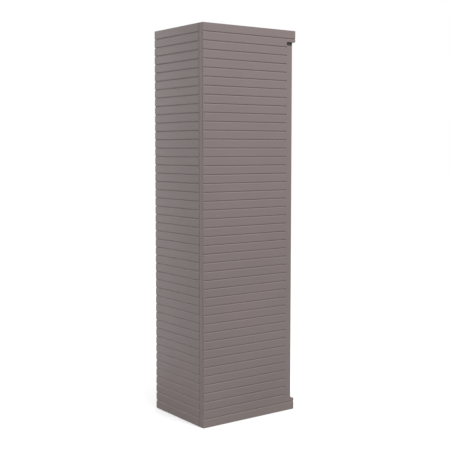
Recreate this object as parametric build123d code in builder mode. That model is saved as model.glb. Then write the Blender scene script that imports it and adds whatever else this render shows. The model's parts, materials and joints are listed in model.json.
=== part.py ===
from build123d import *
import os

# Slim rain barrel that stands against a house wall: a water tank on a plinth, held in a frame of
# four posts, behind slatted cladding panels, under a hinged lid.
# X runs to the right, +Y towards the wall, +Z up. The origin is on the ground, in the middle of the
# footprint. Every length is in millimetres.

os.makedirs("parts", exist_ok=True)

# Outside of the barrel
WIDTH = 400.0
DEPTH = 526.0
HEIGHT = 1800.0
HALF_WIDTH = WIDTH / 2
FRONT_Y = -DEPTH / 2
WALL_Y = DEPTH / 2
WALL_GAP = 20.0
BACK_Y = WALL_Y - WALL_GAP

# Cladding panels: trays whose open side faces the tank
PANEL_DEPTH = 28.0
PANEL_WALL = 6.0
FLANGE = 5.0
PANEL_BOTTOM = 2.0
PANEL_GAP = 2.0
BACK_PANEL_DEPTH = 17.0
RIB = 6.0
RIB_LEVELS = (450.0, 900.0, 1350.0)
CORNER_ROUND = 6.0

# Slats: V grooves at an even pitch, whose root lies a little above the groove's pitch line.
# The three heights are counted from that line.
SLATS = 46
SLAT_PITCH = HEIGHT / SLATS
GROOVE_TOP = 3.9
GROOVE_ROOT = 0.6
GROOVE_LIP = -3.4
GROOVE_DEPTH = 3.2
PLAIN_MARGIN = 33.0
LUG_HEIGHT = 53.0
LUG_LOW = PANEL_BOTTOM + LUG_HEIGHT
LUG_HIGH = HEIGHT - LUG_HEIGHT

# Hose notch under the upper lug
NOTCH_HEIGHT = 17.5
NOTCH_Z = LUG_HIGH - NOTCH_HEIGHT / 2
NOTCH_START = BACK_Y - PLAIN_MARGIN

# Frame: the space that the panels leave
INNER_X = HALF_WIDTH - PANEL_DEPTH
INNER_FRONT = FRONT_Y + PANEL_DEPTH
INNER_BACK = BACK_Y - BACK_PANEL_DEPTH
PLINTH_TOP = 70.0
PLINTH_WALL = 6.0
PLINTH_BOSS_R = 45.0
POST_TOP = 1758.0
POST_LEG = 24.0
POST_WALL = 2.5
SEAT_Z = 1772.0

# Panel screws: one through each leg of each post at each rib
SCREW_INSET = 14.0
POST_SCREW_X = INNER_X - SCREW_INSET
SCREW_R = 1.75
SCREW_HOLE_R = 1.8
SCREW_HEAD_R = 4.0
SCREW_HEAD = 2.5
SCREW_LENGTH = 16.0
BOSS_R = 6.0

# Lid
LID_GAP = 2.0
LID_PLATE = 4.0
LID_ROUND = 1.5
LID_RIM_BOTTOM = 1776.0
LID_X = INNER_X - LID_GAP
LID_FRONT = INNER_FRONT + LID_GAP
LID_BACK = 206.0
HINGE_Y = 214.0
HINGE_Z = 1793.0
HINGE_R = 6.0
HINGE_PIN_R = 3.0
HINGE_CENTRES = (-110.0, 110.0)
KNUCKLE_HALF = 14.0
EAR_OUTER = 25.0
EAR_INNER = 15.0
LATCH_AT = (0.0, -178.0)
LATCH_SHAFT_R = 5.0
LATCH_CUP_R = 28.0
LATCH_POCKET_R = 24.0
LATCH_FLOOR = 1791.0
LATCH_CUP_FLOOR = 5.0
CAM_TOP = 1756.0
LID_RIB_DEPTH = 12.0
LID_RIB_LEVELS = (-110.0, -10.0, 90.0)

# Tank
TANK_X = 163.0
TANK_FRONT = -226.0
TANK_BACK = 212.0
TANK_TOP = 1690.0
TANK_WALL = 6.0
TANK_ROUND = 40.0
TANK_CENTRE_Y = (TANK_FRONT + TANK_BACK) / 2
TANK_AXIS = (0.0, TANK_CENTRE_Y)
WAIST_LEVELS = (430.0, 820.0, 1210.0)
WAIST_HEIGHT = 50.0
WAIST_DEPTH = 9.0
NECK_R = 85.0
NECK_BORE_R = 78.0
NECK_TOP = 1720.0

# Fittings on the left-hand side: centre (y, z) of each
TAP_AT = (-150.0, 330.0)
DRAIN_AT = (-150.0, 120.0)
INLET_AT = (130.0, 1630.0)
OVERFLOW_AT = (130.0, 1540.0)
SMALL_TUBE_R = 13.2
SMALL_BORE_R = 9.5
LARGE_TUBE_R = 16.8
LARGE_TAIL_R = 16.0
LARGE_BORE_R = 13.0
TUBE_TIP = 1.0
TUBE_FLANGE_REACH = 9.0
BACKNUT_REACH = 6.0
ROSETTE_REACH = 13.0
ROSETTE_BEVEL = 2.5
PANEL_HOLE_GAP = 1.0
TANK_HOLE_GAP = 0.3
SMALL_TUBE_END = -224.0
LARGE_TUBE_END = -242.0
TUBE_INNER_END = -142.0
GASKET = 3.0
FITTING_FLANGE = 5.0
BACKNUT = 8.0
ROSETTE = 4.0
RUNNING = 0.05
PIN_FIT = 0.02
SEAL_GAP = 0.3


def block(low, high, mode=Mode.ADD):
    """A box between two opposite corners, in any order."""
    centre = tuple((a + b) / 2 for a, b in zip(low, high))
    size = [abs(a - b) for a, b in zip(low, high)]
    with Locations(centre):
        Box(*size, mode=mode)


def rod(axis, start, end, across, radius, mode=Mode.ADD):
    """A cylinder along X, Y or Z, from start to end; across is its place on the other two axes."""
    middle = (start + end) / 2
    a, b = across
    places = {
        "X": Location((middle, a, b), (0, 90, 0)),
        "Y": Location((a, middle, b), (90, 0, 0)),
        "Z": Location((a, b, middle)),
    }
    with Locations(places[axis]):
        Cylinder(radius, abs(end - start), mode=mode)


def hexagon_x(start, end, at, across_flats):
    """A hexagonal prism along X."""
    across_x = Plane(origin=(start, at[0], at[1]), x_dir=(0, 1, 0), z_dir=(1, 0, 0))
    with BuildSketch(across_x) as hexagon:
        RegularPolygon(across_flats / 2, 6, major_radius=False)
    extrude(hexagon.sketch, amount=end - start)


def hexagon_z(low, high, at, across_flats):
    """A hexagonal prism along Z."""
    with BuildSketch(Plane.XY.offset(low)) as hexagon:
        with Locations(at):
            RegularPolygon(across_flats / 2, 6, major_radius=False)
    extrude(hexagon.sketch, amount=high - low)


def finish(piece, label):
    """Name a finished piece and write it."""
    piece.part.label = label
    export_step(piece.part, f"parts/{label}.step")
    solids = len(piece.part.solids())
    print(f"{label:24s} {solids:3d} solids {piece.part.volume / 1000:10.1f} cm3")


# ---------------------------------------------------------------------------------------------
# Cladding
# ---------------------------------------------------------------------------------------------

def slatted_section(face, back):
    """Outline, as (offset, z), of an upright section whose face carries the grooves."""
    inwards = 1 if back > face else -1
    root = face + inwards * GROOVE_DEPTH
    outline = [(face, PANEL_BOTTOM)]
    for row in range(SLATS - 1, 0, -1):
        z = HEIGHT - row * SLAT_PITCH
        outline.append((face, z + GROOVE_LIP))
        outline.append((root, z + GROOVE_ROOT))
        outline.append((face, z + GROOVE_TOP))
    outline += [(face, HEIGHT), (back, HEIGHT), (back, PANEL_BOTTOM)]
    return outline


def hollow_bays(x_range, y_range, top=HEIGHT - FLANGE):
    """Hollow a tray out, leaving a level rib at each rib height."""
    floors = [PANEL_BOTTOM + FLANGE] + [level + RIB / 2 for level in RIB_LEVELS]
    ceilings = [level - RIB / 2 for level in RIB_LEVELS] + [top]
    for low, high in zip(floors, ceilings):
        block((x_range[0], y_range[0], low), (x_range[1], y_range[1], high), Mode.SUBTRACT)


def screw_bosses(axis, start, end, places):
    """Drilled bosses for the panel screws, where each rib meets a post."""
    for place in places:
        for level in RIB_LEVELS:
            across = (place, level)
            rod(axis, start, end, across, BOSS_R)
            rod(axis, start, end, across, SCREW_HOLE_R, Mode.SUBTRACT)


# The front panel turns the left-hand corner, and its grooves turn with it
FRONT_PANEL_RIGHT = INNER_X - PANEL_GAP
with BuildPart() as front_panel:
    with BuildSketch(Plane.YZ.offset(-HALF_WIDTH)):
        with BuildLine():
            Polyline(slatted_section(FRONT_Y, INNER_FRONT), close=True)
        make_face()
    extrude(amount=HALF_WIDTH + FRONT_PANEL_RIGHT)
    with BuildSketch(Plane.XZ.offset(-INNER_FRONT)):
        with BuildLine():
            Polyline(slatted_section(-HALF_WIDTH, FRONT_PANEL_RIGHT), close=True)
        make_face()
    extrude(amount=PANEL_DEPTH, mode=Mode.INTERSECT)
    hollow_bays((-HALF_WIDTH + PANEL_WALL, FRONT_PANEL_RIGHT - FLANGE), (FRONT_Y + PANEL_WALL, INNER_FRONT))
    screw_bosses("Y", FRONT_Y + PANEL_WALL, INNER_FRONT, (-POST_SCREW_X, POST_SCREW_X))
finish(front_panel, "front_panel")


def side_panel(side, front_edge):
    """A slatted side panel with its two wall lugs and its hose notch; side is +1 for the right."""
    face = side * HALF_WIDTH
    inner_face = side * (HALF_WIDTH - PANEL_WALL)
    back = side * INNER_X
    with BuildPart() as panel:
        with BuildSketch(Plane.XZ.offset(-WALL_Y)):
            with BuildLine():
                Polyline(slatted_section(face, back), close=True)
            make_face()
        extrude(amount=WALL_Y - front_edge)
        # Plain margin at the back, and the relief between the two lugs
        block((face, NOTCH_START, LUG_LOW), (back, BACK_Y, LUG_HIGH))
        block((face, BACK_Y, LUG_LOW), (back, WALL_Y + 1, LUG_HIGH), Mode.SUBTRACT)
        hollow_bays((inner_face, back), (front_edge + FLANGE, BACK_Y - FLANGE))
        for low, high in ((PANEL_BOTTOM, LUG_LOW), (LUG_HIGH, HEIGHT)):
            corner = (inner_face, BACK_Y, low + FLANGE)
            block(corner, (back, WALL_Y - FLANGE, high - FLANGE), Mode.SUBTRACT)
        places = (INNER_FRONT + SCREW_INSET, INNER_BACK - SCREW_INSET)
        screw_bosses("X", inner_face, back, places)
        # Notch with a round inner end, open to the wall side
        radius = NOTCH_HEIGHT / 2
        notch_low = (face, NOTCH_START + radius, NOTCH_Z - radius)
        block(notch_low, (back, BACK_Y + 1, NOTCH_Z + radius), Mode.SUBTRACT)
        rod("X", face, back, (NOTCH_START + radius, NOTCH_Z), radius, Mode.SUBTRACT)
        if side > 0:
            # The grooves run out through the rounded corner
            middle = (face - CORNER_ROUND, front_edge + CORNER_ROUND)
            with BuildSketch(Plane.XY.offset(PANEL_BOTTOM)) as corner:
                with Locations((face - CORNER_ROUND / 2, front_edge + CORNER_ROUND / 2)):
                    Rectangle(CORNER_ROUND, CORNER_ROUND)
                with Locations(middle):
                    Circle(CORNER_ROUND, mode=Mode.SUBTRACT)
            extrude(corner.sketch, amount=HEIGHT, mode=Mode.SUBTRACT)
        if side < 0:
            for at in (TAP_AT, DRAIN_AT):
                rod("X", face, back, at, SMALL_TUBE_R + PANEL_HOLE_GAP, Mode.SUBTRACT)
            for at in (INLET_AT, OVERFLOW_AT):
                rod("X", face, back, at, LARGE_TUBE_R + PANEL_HOLE_GAP, Mode.SUBTRACT)
    return panel


finish(side_panel(1, FRONT_Y), "right_side_panel")
finish(side_panel(-1, INNER_FRONT + PANEL_GAP), "left_side_panel")

# Plain back panel, with holes for the screws of the two wall rails
BACK_PANEL_X = INNER_X - PANEL_GAP
RAIL_CENTRES = (30.0, HEIGHT - 28.0)
RAIL_SCREW_X = 60.0
RAIL_SCREW_R = 2.5
with BuildPart() as back_panel:
    block((-BACK_PANEL_X, INNER_BACK, PANEL_BOTTOM), (BACK_PANEL_X, BACK_Y, HEIGHT))
    hollow_bays((-BACK_PANEL_X + FLANGE, BACK_PANEL_X - FLANGE), (INNER_BACK, BACK_Y - PANEL_WALL))
    screw_bosses("Y", BACK_Y - PANEL_WALL, INNER_BACK, (-POST_SCREW_X, POST_SCREW_X))
    for rail_z in RAIL_CENTRES:
        for x in (-RAIL_SCREW_X, RAIL_SCREW_X):
            rod("Y", INNER_BACK, BACK_Y + 1, (x, rail_z), RAIL_SCREW_R + RUNNING, Mode.SUBTRACT)
finish(back_panel, "back_panel")


GROMMET_LINER = 2.0
WEB_SET_BACK = 5.0
SLIT_HALF = 0.4


def notch_grommet(side):
    """A rubber liner for the hose notch, closed by a thin web with a slit."""
    face = side * HALF_WIDTH
    inner = side * (HALF_WIDTH - PANEL_WALL - GROMMET_LINER)
    web = side * (HALF_WIDTH - WEB_SET_BACK)
    web_back = side * (HALF_WIDTH - WEB_SET_BACK - GROMMET_LINER)
    liner = GROMMET_LINER
    radius = NOTCH_HEIGHT / 2 - RUNNING
    with BuildPart() as grommet:
        block((face, NOTCH_START + radius, NOTCH_Z - radius), (inner, BACK_Y, NOTCH_Z + radius))
        rod("X", face, inner, (NOTCH_START + radius + RUNNING, NOTCH_Z), radius)
        for start, end in ((face, web), (web_back, inner)):
            reach = radius - liner
            low = (start, NOTCH_START + radius, NOTCH_Z - reach)
            block(low, (end, BACK_Y - liner, NOTCH_Z + reach), Mode.SUBTRACT)
            rod("X", start, end, (NOTCH_START + radius, NOTCH_Z), reach, Mode.SUBTRACT)
        slit = (web, NOTCH_START + radius, NOTCH_Z - SLIT_HALF)
        block(slit, (web_back, BACK_Y - 2 * liner, NOTCH_Z + SLIT_HALF), Mode.SUBTRACT)
    return grommet


finish(notch_grommet(1), "right_notch_grommet")
finish(notch_grommet(-1), "left_notch_grommet")

# ---------------------------------------------------------------------------------------------
# Frame
# ---------------------------------------------------------------------------------------------

# Plinth: a ribbed base with a boss in the middle, which stands on the ground
with BuildPart() as base_plinth:
    block((-INNER_X, INNER_FRONT, 0), (INNER_X, INNER_BACK, PLINTH_TOP))
    x_walls = [-INNER_X + PLINTH_WALL, -PLINTH_WALL / 2]
    y_middle = (INNER_FRONT + INNER_BACK) / 2
    y_walls = [INNER_FRONT + PLINTH_WALL, y_middle - PLINTH_WALL / 2]
    for x_low, x_high in (x_walls, [-x for x in x_walls]):
        for y_low, y_high in (y_walls, [2 * y_middle - y for y in y_walls]):
            block((x_low, y_low, 0), (x_high, y_high, PLINTH_TOP - PLINTH_WALL), Mode.SUBTRACT)
    rod("Z", 0, PLINTH_TOP - PLINTH_WALL, (0, 0), PLINTH_BOSS_R)
finish(base_plinth, "base_plinth")


def corner_post(x_side, y_outer, inwards):
    """An angle post; its outer faces touch the panels."""
    x_outer = x_side * INNER_X
    with BuildPart() as post:
        x_end = x_outer - x_side * POST_LEG
        y_end = y_outer + inwards * POST_LEG
        block((x_outer, y_outer, PLINTH_TOP), (x_end, y_end, POST_TOP))
        hollow = (x_outer - x_side * POST_WALL, y_outer + inwards * POST_WALL, PLINTH_TOP)
        block(hollow, (x_end, y_end, POST_TOP), Mode.SUBTRACT)
        for level in RIB_LEVELS:
            side_leg = (y_outer + inwards * SCREW_INSET, level)
            rod("X", x_outer, x_outer - x_side * POST_WALL, side_leg, SCREW_HOLE_R, Mode.SUBTRACT)
            other_leg = (x_side * POST_SCREW_X, level)
            rod("Y", y_outer, y_outer + inwards * POST_WALL, other_leg, SCREW_HOLE_R, Mode.SUBTRACT)
    return post


POSTS = {
    "front_left_post": (-1, INNER_FRONT, 1),
    "front_right_post": (1, INNER_FRONT, 1),
    "rear_left_post": (-1, INNER_BACK, -1),
    "rear_right_post": (1, INNER_BACK, -1),
}
for post_name, post_place in POSTS.items():
    finish(corner_post(*post_place), post_name)

# Panel screws: two for each post at each rib level
with BuildPart() as panel_screws:
    for x_side, y_outer, inwards in POSTS.values():
        x_inner = x_side * (INNER_X - POST_WALL)
        y_inner = y_outer + inwards * POST_WALL
        for level in RIB_LEVELS:
            at = (y_outer + inwards * SCREW_INSET, level)
            rod("X", x_inner, x_inner + x_side * SCREW_LENGTH, at, SCREW_R)
            rod("X", x_inner, x_inner - x_side * SCREW_HEAD, at, SCREW_HEAD_R)
            at = (x_side * POST_SCREW_X, level)
            length = BACK_PANEL_DEPTH - PANEL_WALL if inwards < 0 else SCREW_LENGTH
            rod("Y", y_inner, y_inner - inwards * length, at, SCREW_R)
            rod("Y", y_inner, y_inner + inwards * SCREW_HEAD, at, SCREW_HEAD_R)
finish(panel_screws, "panel_screws")

# Top frame: a ring on the posts with a raised dam round its opening and the ears of the lid hinge
OPENING_X = 128.0
OPENING_FRONT = -195.0
OPENING_BACK = 175.0
DAM = 4.0
DAM_TOP = 1780.0
with BuildPart() as top_frame:
    block((-INNER_X, INNER_FRONT, POST_TOP), (INNER_X, INNER_BACK, SEAT_Z))
    dam_corner = (OPENING_X + DAM, OPENING_BACK + DAM, DAM_TOP)
    block((-OPENING_X - DAM, OPENING_FRONT - DAM, SEAT_Z), dam_corner)
    opening_corner = (OPENING_X, OPENING_BACK, DAM_TOP)
    block((-OPENING_X, OPENING_FRONT, POST_TOP), opening_corner, Mode.SUBTRACT)
    for centre in HINGE_CENTRES:
        for start, end in ((-EAR_OUTER, -EAR_INNER), (EAR_INNER, EAR_OUTER)):
            ear = (centre + start, HINGE_Y - HINGE_R, SEAT_Z)
            block(ear, (centre + end, HINGE_Y + HINGE_R, HINGE_Z))
            rod("X", centre + start, centre + end, (HINGE_Y, HINGE_Z), HINGE_R)
        pin_bore = HINGE_PIN_R + PIN_FIT
        rod("X", centre - EAR_OUTER, centre + EAR_OUTER, (HINGE_Y, HINGE_Z), pin_bore, Mode.SUBTRACT)
finish(top_frame, "top_frame")

with BuildPart() as hinge_pins:
    for centre in HINGE_CENTRES:
        rod("X", centre - EAR_OUTER, centre + EAR_OUTER, (HINGE_Y, HINGE_Z), HINGE_PIN_R)
finish(hinge_pins, "hinge_pins")


# Wall rails: channels that close the gap to the wall and carry the wall screws
RAIL_HALF = 160.0
RAIL_HEIGHT = 40.0
RAIL_WALL = 4.0
RAIL_BACK = WALL_Y - 2
RAIL_BOSS_R = 8.0
RAIL_SCREW_HEAD = 3.0
RAIL_SCREW_HEAD_R = 5.0
WALL_SCREW_X = 120.0
WALL_SCREW_R = 4.5


def wall_rail(rail_z):
    """A channel, open towards the barrel, on two spacer bosses."""
    low = rail_z - RAIL_HEIGHT / 2
    high = rail_z + RAIL_HEIGHT / 2
    with BuildPart() as rail:
        block((-RAIL_HALF, BACK_Y, low), (RAIL_HALF, RAIL_BACK, high))
        hollow_corner = (RAIL_HALF, RAIL_BACK - RAIL_WALL, high - RAIL_WALL)
        block((-RAIL_HALF, BACK_Y, low + RAIL_WALL), hollow_corner, Mode.SUBTRACT)
        for x in (-RAIL_SCREW_X, RAIL_SCREW_X):
            rod("Y", BACK_Y, RAIL_BACK - RAIL_WALL, (x, rail_z), RAIL_BOSS_R)
            rod("Y", BACK_Y, RAIL_BACK, (x, rail_z), RAIL_SCREW_R + RUNNING, Mode.SUBTRACT)
            recess_r = RAIL_SCREW_HEAD_R + 2 * RUNNING
            rod("Y", RAIL_BACK - RAIL_SCREW_HEAD, RAIL_BACK, (x, rail_z), recess_r, Mode.SUBTRACT)
        for x in (-WALL_SCREW_X, WALL_SCREW_X):
            rod("Y", RAIL_BACK - RAIL_WALL, RAIL_BACK, (x, rail_z), WALL_SCREW_R, Mode.SUBTRACT)
    return rail


finish(wall_rail(RAIL_CENTRES[0]), "lower_wall_rail")
finish(wall_rail(RAIL_CENTRES[1]), "upper_wall_rail")

with BuildPart() as rail_screws:
    for rail_z in RAIL_CENTRES:
        for x in (-RAIL_SCREW_X, RAIL_SCREW_X):
            head_base = RAIL_BACK - RAIL_SCREW_HEAD
            rod("Y", head_base, RAIL_BACK, (x, rail_z), RAIL_SCREW_HEAD_R)
            rod("Y", BACK_Y - PANEL_WALL, head_base, (x, rail_z), RAIL_SCREW_R)
finish(rail_screws, "rail_screws")

# ---------------------------------------------------------------------------------------------
# Lid and latch
# ---------------------------------------------------------------------------------------------

with BuildPart() as lid_shell:
    block((-LID_X, LID_FRONT, LID_RIM_BOTTOM), (LID_X, LID_BACK, HEIGHT))
    top_edges = lid_shell.faces().sort_by(Axis.Z)[-1].edges()
    fillet(top_edges, LID_ROUND)
    inside = (LID_X - LID_PLATE, LID_BACK - LID_PLATE, HEIGHT - LID_PLATE)
    block((-LID_X + LID_PLATE, LID_FRONT + LID_PLATE, LID_RIM_BOTTOM), inside, Mode.SUBTRACT)
    under = HEIGHT - LID_PLATE
    for rib_y in LID_RIB_LEVELS:
        rib_low = (-LID_X + LID_PLATE, rib_y - LID_PLATE / 2, under - LID_RIB_DEPTH)
        block(rib_low, (LID_X - LID_PLATE, rib_y + LID_PLATE / 2, under))
    cup_bottom = LATCH_FLOOR - LATCH_CUP_FLOOR
    rod("Z", cup_bottom, under, LATCH_AT, LATCH_CUP_R)
    rod("Z", LATCH_FLOOR, HEIGHT, LATCH_AT, LATCH_POCKET_R, Mode.SUBTRACT)
    rod("Z", cup_bottom, LATCH_FLOOR, LATCH_AT, LATCH_SHAFT_R + RUNNING, Mode.SUBTRACT)
    for centre in HINGE_CENTRES:
        arm = (centre - KNUCKLE_HALF, LID_BACK - LID_PLATE, HINGE_Z - HINGE_R)
        block(arm, (centre + KNUCKLE_HALF, HINGE_Y, HINGE_Z + HINGE_R))
        knuckle = (HINGE_Y, HINGE_Z)
        rod("X", centre - KNUCKLE_HALF, centre + KNUCKLE_HALF, knuckle, HINGE_R)
        bore = HINGE_PIN_R + RUNNING
        rod("X", centre - KNUCKLE_HALF, centre + KNUCKLE_HALF, knuckle, bore, Mode.SUBTRACT)
finish(lid_shell, "lid_shell")

with BuildPart() as lid_seal:
    seal_low = SEAT_Z + SEAL_GAP
    block((-LID_X, LID_FRONT, seal_low), (LID_X, LID_BACK, LID_RIM_BOTTOM))
    seal_inside = (LID_X - LID_PLATE, LID_BACK - LID_PLATE, LID_RIM_BOTTOM)
    block((-LID_X + LID_PLATE, LID_FRONT + LID_PLATE, seal_low), seal_inside, Mode.SUBTRACT)
finish(lid_seal, "lid_seal")

# Quarter-turn latch: a flush knob, whose cam turns in under the front of the top frame
CAM_THICK = 4.0
CAM_BOTTOM = CAM_TOP - CAM_THICK
CAM_REACH = 30.0
CAM_HALF = 8.0
CAM_EYE_R = 10.0
KNOB_PLATE = 3.0
KNOB_GAP = 2.0
KNOB_BOTTOM = LATCH_FLOOR + SEAL_GAP
KNOB_TOP = HEIGHT - 0.5
KNOB_BAR = (36.0, 8.0)
LATCH_NUT = 6.0
LATCH_NUT_FLATS = 16.0
SHAFT_BOTTOM = CAM_BOTTOM - LATCH_NUT - 2
SPACER_R = 8.0
SPACER_TOP = LATCH_FLOOR - LATCH_CUP_FLOOR - SEAL_GAP
SHAFT_BORE_R = LATCH_SHAFT_R + RUNNING
with BuildPart() as latch_knob:
    plate_top = KNOB_BOTTOM + KNOB_PLATE
    rod("Z", KNOB_BOTTOM, plate_top, LATCH_AT, LATCH_POCKET_R - KNOB_GAP)
    with Locations((*LATCH_AT, (plate_top + KNOB_TOP) / 2)):
        Box(*KNOB_BAR, KNOB_TOP - plate_top)
    rod("Z", SHAFT_BOTTOM, KNOB_BOTTOM, LATCH_AT, LATCH_SHAFT_R)
finish(latch_knob, "latch_knob")

with BuildPart() as latch_cam:
    latch_x, latch_y = LATCH_AT
    block((latch_x, latch_y - CAM_HALF, CAM_BOTTOM), (latch_x + CAM_REACH, latch_y + CAM_HALF, CAM_TOP))
    rod("Z", CAM_BOTTOM, CAM_TOP, LATCH_AT, CAM_EYE_R)
    rod("Z", CAM_BOTTOM, CAM_TOP, LATCH_AT, SHAFT_BORE_R, Mode.SUBTRACT)
finish(latch_cam, "latch_cam")

with BuildPart() as latch_nut:
    hexagon_z(CAM_BOTTOM - LATCH_NUT, CAM_BOTTOM, LATCH_AT, LATCH_NUT_FLATS)
    rod("Z", CAM_BOTTOM - LATCH_NUT, CAM_BOTTOM, LATCH_AT, SHAFT_BORE_R, Mode.SUBTRACT)
finish(latch_nut, "latch_nut")

# Sleeve on the shaft that holds the cam at its height below the cup
with BuildPart() as latch_spacer:
    rod("Z", CAM_TOP, SPACER_TOP, LATCH_AT, SPACER_R)
    rod("Z", CAM_TOP, SPACER_TOP, LATCH_AT, SHAFT_BORE_R, Mode.SUBTRACT)
finish(latch_spacer, "latch_spacer")

# ---------------------------------------------------------------------------------------------
# Tank
# ---------------------------------------------------------------------------------------------

def tank_form(inset, mode):
    """The tank's rounded form, drawn in by inset, with three stiffening waists."""
    low = PLINTH_TOP + inset
    high = TANK_TOP - inset
    width = 2 * (TANK_X - inset)
    depth = TANK_BACK - TANK_FRONT - 2 * inset
    lobe_ends = [low]
    for level in WAIST_LEVELS:
        lobe_ends += [level - WAIST_HEIGHT / 2 - inset, level + WAIST_HEIGHT / 2 + inset]
    lobe_ends.append(high)
    for index in range(len(lobe_ends) - 1):
        drawn_in = WAIST_DEPTH if index % 2 else 0.0
        with BuildSketch(Plane.XY.offset(lobe_ends[index])) as outline:
            with Locations((0, TANK_CENTRE_Y)):
                size = (width - 2 * drawn_in, depth - 2 * drawn_in)
                RectangleRounded(*size, TANK_ROUND - inset)
        extrude(outline.sketch, amount=lobe_ends[index + 1] - lobe_ends[index], mode=mode)


with BuildPart() as tank_body:
    tank_form(0.0, Mode.ADD)
    rod("Z", TANK_TOP, NECK_TOP, TANK_AXIS, NECK_R)
    tank_form(TANK_WALL, Mode.SUBTRACT)
    rod("Z", TANK_TOP - TANK_WALL, NECK_TOP, TANK_AXIS, NECK_BORE_R, Mode.SUBTRACT)
    for at in (TAP_AT, DRAIN_AT):
        rod("X", -TANK_X, -TANK_X + TANK_WALL, at, SMALL_TUBE_R + TANK_HOLE_GAP, Mode.SUBTRACT)
    for at in (INLET_AT, OVERFLOW_AT):
        rod("X", -TANK_X, -TANK_X + TANK_WALL, at, LARGE_TUBE_R + TANK_HOLE_GAP, Mode.SUBTRACT)
finish(tank_body, "tank_body")

# Screw cap of the cleaning opening, with a grip rim and a bar on top, and its flat seal
CAP_SEAL = 2.5
CAP_CEILING = NECK_TOP + CAP_SEAL
CAP_BOTTOM = CAP_CEILING - 26
CAP_TOP = CAP_CEILING + 4
CAP_R = 93.0
CAP_GRIPS = 18
CAP_GRIP = (6.0, 10.0)
CAP_BAR = (120.0, 10.0, 12.0)
CAP_THREAD_GAP = 0.4
with BuildPart() as tank_cap:
    rod("Z", CAP_BOTTOM, CAP_TOP, TANK_AXIS, CAP_R)
    with Locations((*TANK_AXIS, (CAP_BOTTOM + CAP_TOP) / 2)):
        with PolarLocations(CAP_R, CAP_GRIPS):
            Box(*CAP_GRIP, CAP_TOP - CAP_BOTTOM)
    rod("Z", CAP_BOTTOM, CAP_CEILING, TANK_AXIS, NECK_R + CAP_THREAD_GAP, Mode.SUBTRACT)
    with Locations((*TANK_AXIS, CAP_TOP + CAP_BAR[2] / 2)):
        Box(*CAP_BAR)
finish(tank_cap, "tank_cap")

with BuildPart() as tank_cap_seal:
    rod("Z", NECK_TOP + SEAL_GAP, CAP_CEILING, TANK_AXIS, NECK_R)
    rod("Z", NECK_TOP + SEAL_GAP, CAP_CEILING, TANK_AXIS, NECK_BORE_R, Mode.SUBTRACT)
finish(tank_cap_seal, "tank_cap_seal")

# ---------------------------------------------------------------------------------------------
# Fittings through the tank's left-hand wall: tube, gasket, backnut and rosette. The inlet's and the
# overflow's tubes end in a hose tail, which is a little thinner than the thread behind it.
# ---------------------------------------------------------------------------------------------

GASKET_FACE = -TANK_X - GASKET
SHOULDER = -HALF_WIDTH - ROSETTE
FITTINGS = {
    "tap": (TAP_AT, SMALL_TUBE_R, SMALL_TUBE_R, SMALL_BORE_R, SMALL_TUBE_END),
    "drain": (DRAIN_AT, SMALL_TUBE_R, SMALL_TUBE_R, SMALL_BORE_R, SMALL_TUBE_END),
    "inlet": (INLET_AT, LARGE_TUBE_R, LARGE_TAIL_R, LARGE_BORE_R, LARGE_TUBE_END),
    "overflow": (OVERFLOW_AT, LARGE_TUBE_R, LARGE_TAIL_R, LARGE_BORE_R, LARGE_TUBE_END),
}
for fitting, (at, tube_r, tail_r, bore_r, tube_end) in FITTINGS.items():
    with BuildPart() as tube:
        rod("X", SHOULDER, tube_end, at, tail_r)
        tip = tube.faces().filter_by(Axis.X).sort_by(Axis.X)[0].edges()
        chamfer(tip, TUBE_TIP)
        rod("X", TUBE_INNER_END, SHOULDER, at, tube_r)
        flange_r = tube_r + TUBE_FLANGE_REACH
        rod("X", GASKET_FACE, GASKET_FACE - FITTING_FLANGE, at, flange_r)
        rod("X", TUBE_INNER_END, tube_end, at, bore_r, Mode.SUBTRACT)
    finish(tube, f"{fitting}_tube")

    with BuildPart() as gasket:
        rod("X", -TANK_X, GASKET_FACE, at, flange_r)
        rod("X", -TANK_X, GASKET_FACE, at, tube_r + RUNNING, Mode.SUBTRACT)
    finish(gasket, f"{fitting}_gasket")

    with BuildPart() as backnut:
        inner_wall = -TANK_X + TANK_WALL
        hexagon_x(inner_wall, inner_wall + BACKNUT, at, 2 * (tube_r + BACKNUT_REACH))
        rod("X", inner_wall, inner_wall + BACKNUT, at, tube_r + RUNNING, Mode.SUBTRACT)
    finish(backnut, f"{fitting}_backnut")

    with BuildPart() as rosette:
        rod("X", -HALF_WIDTH, SHOULDER, at, tube_r + ROSETTE_REACH)
        rim = rosette.faces().filter_by(Axis.X).sort_by(Axis.X)[0].edges()
        chamfer(rim, ROSETTE_BEVEL)
        rod("X", -HALF_WIDTH, SHOULDER, at, tube_r + RUNNING, Mode.SUBTRACT)
    finish(rosette, f"{fitting}_rosette")

# Strainer basket on the inner end of the inlet
STRAINER_R = 19.6
STRAINER_START = -TANK_X + TANK_WALL + BACKNUT
STRAINER_END = -84.0
STRAINER_FLOOR = 2.0
STRAINER_SLOTS = 4
SLOT_PITCH = 10.0
SLOT_WIDTH = 4.0
SLOT_HALF = 12.0
FIRST_SLOT = TUBE_INNER_END + 20
with BuildPart() as inlet_strainer:
    inlet_y, inlet_z = INLET_AT
    rod("X", STRAINER_START, STRAINER_END, INLET_AT, STRAINER_R)
    strainer_bore_r = LARGE_TUBE_R + RUNNING
    rod("X", STRAINER_START, STRAINER_END - STRAINER_FLOOR, INLET_AT, strainer_bore_r, Mode.SUBTRACT)
    for slot in range(STRAINER_SLOTS):
        slot_x = FIRST_SLOT + slot * SLOT_PITCH
        slot_low = (slot_x, inlet_y - SLOT_HALF, inlet_z - STRAINER_R)
        block(slot_low, (slot_x + SLOT_WIDTH, inlet_y + SLOT_HALF, inlet_z + STRAINER_R), Mode.SUBTRACT)
finish(inlet_strainer, "inlet_strainer")

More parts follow.
